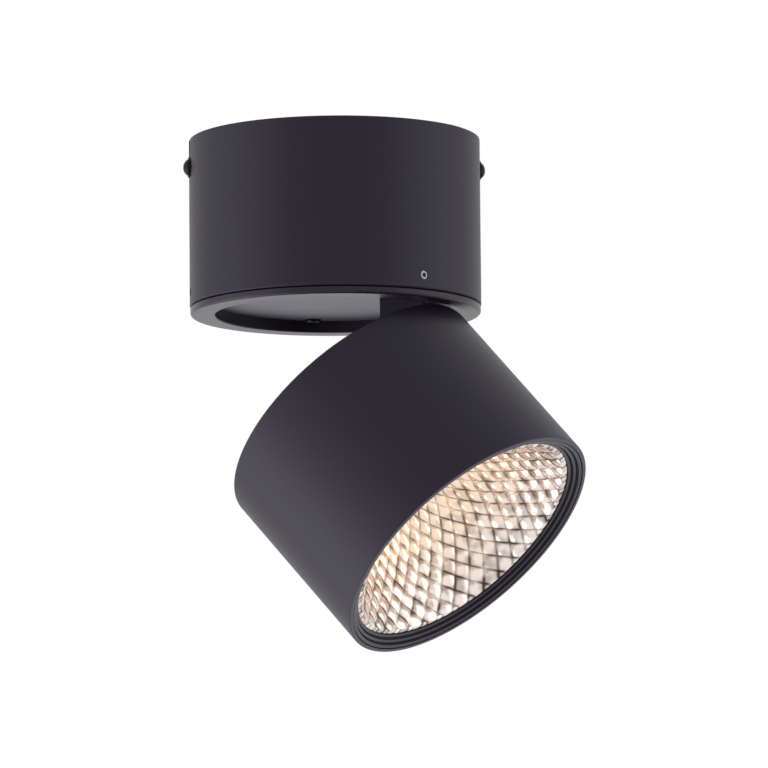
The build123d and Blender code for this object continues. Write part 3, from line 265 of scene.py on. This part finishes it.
# painted shade mixed into the crown colour, strongest in the grooves
shade = addNode(tree, "ShaderNodeMix", {"data_type": "RGBA", 7: srgb(mirror["groove"])},
                {0: depth.outputs[0], 6: crown.outputs[2]})
rough = addNode(tree, "ShaderNodeMapRange",
                {"To Min": mirror["crownRoughness"], "To Max": mirror["grooveRoughness"]},
                {"Value": grooves.outputs["Fac"]})
relief = addNode(tree, "ShaderNodeBump",
                 {"Strength": mirror["relief"], "Distance": mirror["reliefDepth"] * mm},
                 {"Height": polish.outputs["Fac"]})
tree.links.new(shade.outputs[2], surface.inputs["Base Color"])
tree.links.new(rough.outputs["Result"], surface.inputs["Roughness"])
tree.links.new(relief.outputs["Normal"], surface.inputs["Normal"])
surface.inputs["Metallic"].default_value = 1.0
paintNodes(facetedAluminium, ["reflector"])

plainPlastic = {"flowSize": 6.0, "skinSize": 0.4, "relief": 0.2, "reliefDepth": 0.02, "ior": 1.5}
plastics = {
    "blackPolycarbonate": {  # moulded black, with a slight shine
        "on": ["driver_capacitors"], "dark": "#1b1a1e", "light": "#201f23", "roughness": 0.35},
    "satinPaintedHighlightPolycarbonate": {  # the crowns of the baffle's rings: a lighter colour, painted highlight, with a faint violet shine
        "on": [], "dark": "#221d28", "light": "#28222f", "roughness": 0.34},
    "mattPaintedShadePolycarbonate": {  # between those crowns: dull, and a darker colour that is painted shade in the risers and feet
        "on": [], "dark": "#16131a", "light": "#1b171f", "roughness": 0.75, "ior": 1.3},
    "blackRubber": {  # moulded, soft and dull
        "on": ["cable_bushing", "lead_grommet"], "dark": "#161517", "light": "#1b1a1c", "roughness": 0.7},
    "whitePolyamide": {  # a slightly yellow white, half matt
        "on": ["terminal_block", "led_holder"], "dark": "#d9d8d3", "light": "#e6e5e0", "roughness": 0.45},
    "whitePolycarbonate": {  # a clean white
        "on": ["driver_case", "driver_cover"], "dark": "#d8d8d6", "light": "#e2e2e0", "roughness": 0.4},
    "solderResist": {  # a dark green lacquer
        "on": ["driver_board"], "dark": "#123f24", "light": "#1a5230", "roughness": 0.3},
    "brownPvc": {  # the mains leads have extruded skins, half matt
        "on": ["line_lead"], "dark": "#4a2615", "light": "#5a2f1b", "roughness": 0.45},
    "bluePvc": {
        "on": ["neutral_lead"], "dark": "#18448f", "light": "#1f52a5", "roughness": 0.45},
    "greenYellowPvc": {  # bandScale / stripePitch is the Scale at which diagonal bands lie that far apart
        "on": ["earth_lead"], "dark": "#3f8420", "light": "#4a9026", "roughness": 0.45,
        "stripe": "#d9c21f", "stripePitch": 5.0, "stripeEdge": (0.6, 0.66), "bandScale": 628},
    "clearSilicone": {  # a milky skin, half matt
        "on": ["driver_output_lead", "swivel_lead", "head_lead"],
        "dark": "#c9c4b8", "light": "#dcd8cc", "roughness": 0.35},
    "nylon": {  # natural, the colour of cream
        "on": ["friction_washers"], "dark": "#d8d4c4", "light": "#e6e3d6", "roughness": 0.5},
    "yellowTape": {  # film wound round the coil, fairly glossy
        "on": ["driver_transformer"], "dark": "#c79a1c", "light": "#dcb02a", "roughness": 0.3},
}
mouldings = {name: plastic(name, {**plainPlastic, **finish}) for name, finish in plastics.items()}
for name, finish in plastics.items():
    paintNodes(mouldings[name], finish["on"])

# silicone with yellow phosphor, switched on: cloudy where the powder has settled
lit = {"thin": "#f0cc6c", "thick": "#e8bf55", "cloudSize": 1.2, "roughness": 0.4, "glow": "#ffd9a0",
       "strength": 24.0}
phosphor, tree, surface, objectSpace = newMaterial("litPhosphor")
powder = addNode(tree, "ShaderNodeTexNoise", {"Scale": patternScale(lit["cloudSize"]), "Detail": 2.0},
                 {"Vector": objectSpace})
shade = addNode(tree, "ShaderNodeMix", {"data_type": "RGBA", 6: srgb(lit["thin"]), 7: srgb(lit["thick"])},
                {0: powder.outputs["Fac"]})
tree.links.new(shade.outputs[2], surface.inputs["Base Color"])
surface.inputs["Roughness"].default_value = lit["roughness"]
surface.inputs["Emission Color"].default_value = srgb(lit["glow"])
surface.inputs["Emission Strength"].default_value = lit["strength"]
paintNodes(phosphor, ["led_emitter"])
print("materials", len(bpy.data.materials))


# pieces are made in the head's own millimetres, with z zero at its front rim and falling towards its rear
def newPiece(name, mesh, matrix, body, material, replaced):
    for face in mesh.faces:
        face.smooth = True
    mesh.transform(matrix)
    data = bpy.data.meshes.new(name)
    mesh.to_mesh(data)
    mesh.free()
    data.materials.append(material)
    piece = bpy.data.objects.new(name, data)
    scene.collection.objects.link(piece)
    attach(piece, body)
    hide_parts(*replaced)
    return piece


bowl = {
    "mouth": 43.2, "throat": 10.0, "mouthDepth": 3.4, "deep": 40.0,  # a paraboloid
    "wall": 1.3, "rim": 3.4, "rimThickness": 0.8,
    "round": 40, "rowStep": 3.95, "turn": 1.25,  # facets: number round, half height along the wall, phase
    "crown": 0.95, "fine": 14,  # height of each pillow, divisions across it
    "fullCrown": 30.0,  # radius from which the pillows have that height; nearer the throat they are lower
    "grooveWidth": (0.36, 0.4),  # share of a pillow, from its edge, that each family of grooves darkens with painted shade
    "samples": 800, "backSteps": 16,  # divisions of the wall's length, and of its plain back
    "faceSlack": 0.2, "endSlack": 1e-6, "weld": 0.002,  # what counts as on the inner face, at its end, as one
}


def bowlRadius(depth):
    return sqrt(bowl["throat"] ** 2 + (bowl["mouth"] ** 2 - bowl["throat"] ** 2) * (1 - depth / bowl["deep"]))


def wallTable():  # length up the wall from the throat, depth, radius
    table, length, last = [], 0.0, None
    for i in range(bowl["samples"] + 1):
        depth = bowl["deep"] * (1 - i / bowl["samples"])
        here = (depth, bowlRadius(depth))
        length += hypot(here[0] - last[0], here[1] - last[1]) if last else 0.0
        table.append((length, *here))
        last = here
    return table


def between(table, key, value, result, slack=1e-9):  # straight interpolation in the table
    for first, second in zip(table, table[1:]):
        low, high = sorted((first[key], second[key]))
        if low - slack <= value <= high + slack:
            share = (value - first[key]) / (second[key] - first[key])
            return first[result] + share * (second[result] - first[result])
    return table[-1][result]


def bowlLoop(table):  # the wall's section: up its inner face, round the rim and down its back
    total = table[-1][0]
    count = round(total / (bowl["rowStep"] * 2 / bowl["fine"]))
    innerDepths = [between(table, 0, total * i / count, 1) for i in range(count + 1)]
    backShares = [step / bowl["backSteps"] for step in range(bowl["backSteps"], -1, -1)]
    backDepths = [bowl["deep"] * (1 - share) ** 2 for share in backShares]
    backDepths = [depth for depth in backDepths if depth > bowl["rimThickness"]]
    rimOut = bowl["mouth"] + bowl["rim"]
    loop = [(bowlRadius(depth), depth) for depth in innerDepths]
    loop += [(rimOut, 0.0), (rimOut, bowl["rimThickness"])]
    loop += [(bowlRadius(depth) + bowl["wall"], depth) for depth in backDepths]
    return [(radius, -bowl["mouthDepth"] - depth) for radius, depth in loop]


def crownFacets(mesh, table, pitch):  # each diamond rises to a pillow between two families of grooves
    groove = mesh.verts.layers.float.new("groove")
    for vert in mesh.verts:
        radius, depth = hypot(vert.co.x, vert.co.y), -vert.co.z - bowl["mouthDepth"]
        onFace = radius <= bowlRadius(min(depth, bowl["deep"])) + bowl["faceSlack"]
        if not 0.0 <= depth <= bowl["deep"] + bowl["endSlack"] or not onFace:
            continue
        around = (-atan2(vert.co.y, vert.co.x) - radians(bowl["turn"])) / pitch
        along = between(table, 1, depth, 0) / (2 * bowl["rowStep"])
        p, q = (around + along) % 1 * 2 - 1, (around - along) % 1 * 2 - 1  # from groove to groove, -1 to 1
        rise = bowl["crown"] * (1 - (p * p + q * q) / 2) * min(1.0, radius / bowl["fullCrown"])
        slope = (bowl["mouth"] ** 2 - bowl["throat"] ** 2) / bowl["deep"] / (2 * radius)
        inward = Vector((-vert.co.x / radius, -vert.co.y / radius, slope)).normalized()
        vert.co += inward * rise
        # this value marks where painted shade darkens the metal, and where it is rougher
        edge = max((abs(side) - 1 + width) / width for side, width in zip((p, q), bowl["grooveWidth"]))
        vert[groove] = max(0.0, edge) ** 2


def makeReflector():
    table = wallTable()
    pitch = 2 * pi / bowl["round"]
    mesh = bmesh.new()
    corners = [mesh.verts.new((radius, 0, z)) for radius, z in bowlLoop(table)]
    edges = [mesh.edges.new((a, b)) for a, b in zip(corners, corners[1:] + corners[:1])]
    bmesh.ops.spin(mesh, geom=corners + edges, cent=(0, 0, 0), axis=(0, 0, 1), angle=pitch,
                   steps=bowl["fine"], use_duplicate=False)
    crownFacets(mesh, table, pitch)
    bmesh.ops.spin(mesh, geom=mesh.verts[:] + mesh.edges[:] + mesh.faces[:], cent=(0, 0, 0), axis=(0, 0, 1),
                   angle=2 * pi - pitch, steps=bowl["round"] - 1, use_duplicate=True)
    bmesh.ops.remove_doubles(mesh, verts=mesh.verts, dist=bowl["weld"])
    bmesh.ops.recalc_face_normals(mesh, faces=mesh.faces)
    return newPiece("facetedReflector", mesh, headPlace, "head", facetedAluminium,
                    ["reflector"])


reflector = makeReflector()
print("reflector", len(reflector.data.polygons), "faces")


baffle = {
    "outside": 48.45, "front": 0.1, "back": 3.4,  # from the head's front rim
    "count": 3, "width": 1.43, "pitch": 1.1,  # rings: number, width, depth from one to the next
    "crown": 0.5, "fall": 0.3, "fine": 14, "steps": 192,  # each ring's rounding, in mm, and divisions
    "matt": 0.75,  # depth below a ring's crown, as a share of it, where the matt, painted-shade part begins
}


def makeBaffle():  # rings with rounded faces, each deeper than the one outside it
    loop = [(baffle["outside"], baffle["back"])]
    for ring in range(baffle["count"]):
        outside = baffle["outside"] - ring * baffle["width"]
        front = baffle["front"] + ring * baffle["pitch"]
        for i in range(baffle["fine"] + 1):
            turn = pi * i / baffle["fine"]
            share = (1 - cos(turn)) / 2
            loop.append((outside - baffle["width"] * share,
                         front + baffle["crown"] * (1 - sin(turn)) + baffle["fall"] * share))
    loop.append((baffle["outside"] - baffle["count"] * baffle["width"], baffle["back"]))
    mesh = bmesh.new()
    corners = [mesh.verts.new((radius, 0, -depth)) for radius, depth in loop]
    edges = [mesh.edges.new((a, b)) for a, b in zip(corners, corners[1:] + corners[:1])]
    bmesh.ops.spin(mesh, geom=corners + edges, cent=(0, 0, 0), axis=(0, 0, 1), angle=2 * pi,
                   steps=baffle["steps"], use_merge=True, use_duplicate=False)
    bmesh.ops.recalc_face_normals(mesh, faces=mesh.faces)
    for face in mesh.faces:  # the risers and the foot of each ring stay matt, in the darker painted-shade colour
        heights = [-vert.co.z for vert in face.verts]
        foot = (min(heights) - baffle["front"]) % baffle["pitch"] > baffle["crown"] * baffle["matt"]
        if foot or max(heights) - min(heights) > baffle["crown"]:
            face.material_index = 1
    piece = newPiece("steppedBaffle", mesh, headPlace, "head", mouldings["satinPaintedHighlightPolycarbonate"],
                     ["baffle_ring"])
    piece.data.materials.append(mouldings["mattPaintedShadePolycarbonate"])
    return piece


steppedBaffle = makeBaffle()
print("baffle", len(steppedBaffle.data.polygons), "faces")


# the studio, in metres
def seenDirectly(tree):  # 1 where the camera, metal or glass looks, 0 for the light that falls on the object
    path = addNode(tree, "ShaderNodeLightPath")
    seen = path.outputs["Is Camera Ray"]
    for ray in ("Is Glossy Ray", "Is Transmission Ray"):
        seen = addNode(tree, "ShaderNodeMath", {"operation": "MAXIMUM"},
                       {0: seen, 1: path.outputs[ray]}).outputs[0]
    return seen


air = {"colour": "#f6f6f8", "ambient": 0.75}  # what lights the object from all round; it looks plain white
world = bpy.data.worlds.new("studio")
scene.world = world
world.use_nodes = True
tree = world.node_tree
tree.nodes.clear()
plain = addNode(tree, "ShaderNodeBackground", {"Color": srgb(air["colour"]), "Strength": air["ambient"]})
white = addNode(tree, "ShaderNodeBackground", {"Color": srgb("#ffffff"), "Strength": 1.0})
mix = addNode(tree, "ShaderNodeMixShader", None,
              {0: seenDirectly(tree), 1: plain.outputs[0], 2: white.outputs[0]})
addNode(tree, "ShaderNodeOutputWorld", None, {"Surface": mix.outputs[0]})

middle = Vector((0.0, 0.0, -0.09))  # of the object, where every lamp points
lamps = {
    "softboxLeft": {"spot": (-1.5, -0.25, 0.0), "side": 1.6, "watts": 6.5},
    "softboxRight": {"spot": (1.5, -0.5, 0.1), "side": 1.6, "watts": 7.5},
    "softboxBelow": {"spot": (-1.2, 0.1, -1.0), "side": 1.7, "watts": 17.0},
}
for name, lamp in lamps.items():
    data = bpy.data.lights.new(name, "AREA")
    data.shape = "SQUARE"
    data.size = lamp["side"]
    data.energy = lamp["watts"]
    softbox = bpy.data.objects.new(name, data)
    softbox.location = lamp["spot"]
    softbox.rotation_euler = (middle - Vector(lamp["spot"])).to_track_quat("-Z", "Y").to_euler()
    scene.collection.objects.link(softbox)

# "lift" brings the floor up to the background's white where it is seen or mirrored
ground = {"size": 6.0, "height": -3.0, "colour": "#e8e8ea", "roughness": 0.8, "lift": 0.38}
floorMesh = bmesh.new()
bmesh.ops.create_grid(floorMesh, x_segments=4, y_segments=4, size=ground["size"])
bmesh.ops.translate(floorMesh, verts=floorMesh.verts, vec=(0, 0, ground["height"]))
floorData = bpy.data.meshes.new("floor")
floorMesh.to_mesh(floorData)
floorMesh.free()
floor = bpy.data.objects.new("floor", floorData)
scene.collection.objects.link(floor)
floorPaint, tree, surface, objectSpace = newMaterial("paleFloor")
surface.inputs["Base Color"].default_value = srgb(ground["colour"])
surface.inputs["Roughness"].default_value = ground["roughness"]
surface.inputs["Emission Color"].default_value = srgb("#ffffff")
lift = addNode(tree, "ShaderNodeMath", {"operation": "MULTIPLY", 1: ground["lift"]}, {0: seenDirectly(tree)})
tree.links.new(lift.outputs[0], surface.inputs["Emission Strength"])
floorData.materials.append(floorPaint)

view = {
    "spot": (-0.2918, -2.5474, -0.4469), "heading": 6.9, "pitch": 8.04, "roll": 0.524,
    "lens": 354.5, "sensor": 36.0, "nearest": 0.1, "furthest": 20.0,
}
heading, pitch, roll = (radians(view[key]) for key in ("heading", "pitch", "roll"))
forward = Vector((sin(heading) * cos(pitch), cos(heading) * cos(pitch), sin(pitch)))
right = Vector((cos(heading), -sin(heading), 0))
above = right.cross(forward)
imageRight = right * cos(roll) - above * sin(roll)
imageUp = right * sin(roll) + above * cos(roll)
cameraTurn = Matrix((imageRight, imageUp, -forward)).transposed()
cameraData = bpy.data.cameras.new("camera")
cameraData.lens = view["lens"]
cameraData.sensor_width = view["sensor"]
cameraData.clip_start = view["nearest"]
cameraData.clip_end = view["furthest"]
camera = bpy.data.objects.new("camera", cameraData)
camera.matrix_world = Matrix.Translation(view["spot"]) @ cameraTurn.to_4x4()
scene.collection.objects.link(camera)
scene.camera = camera
print("camera and lights set")
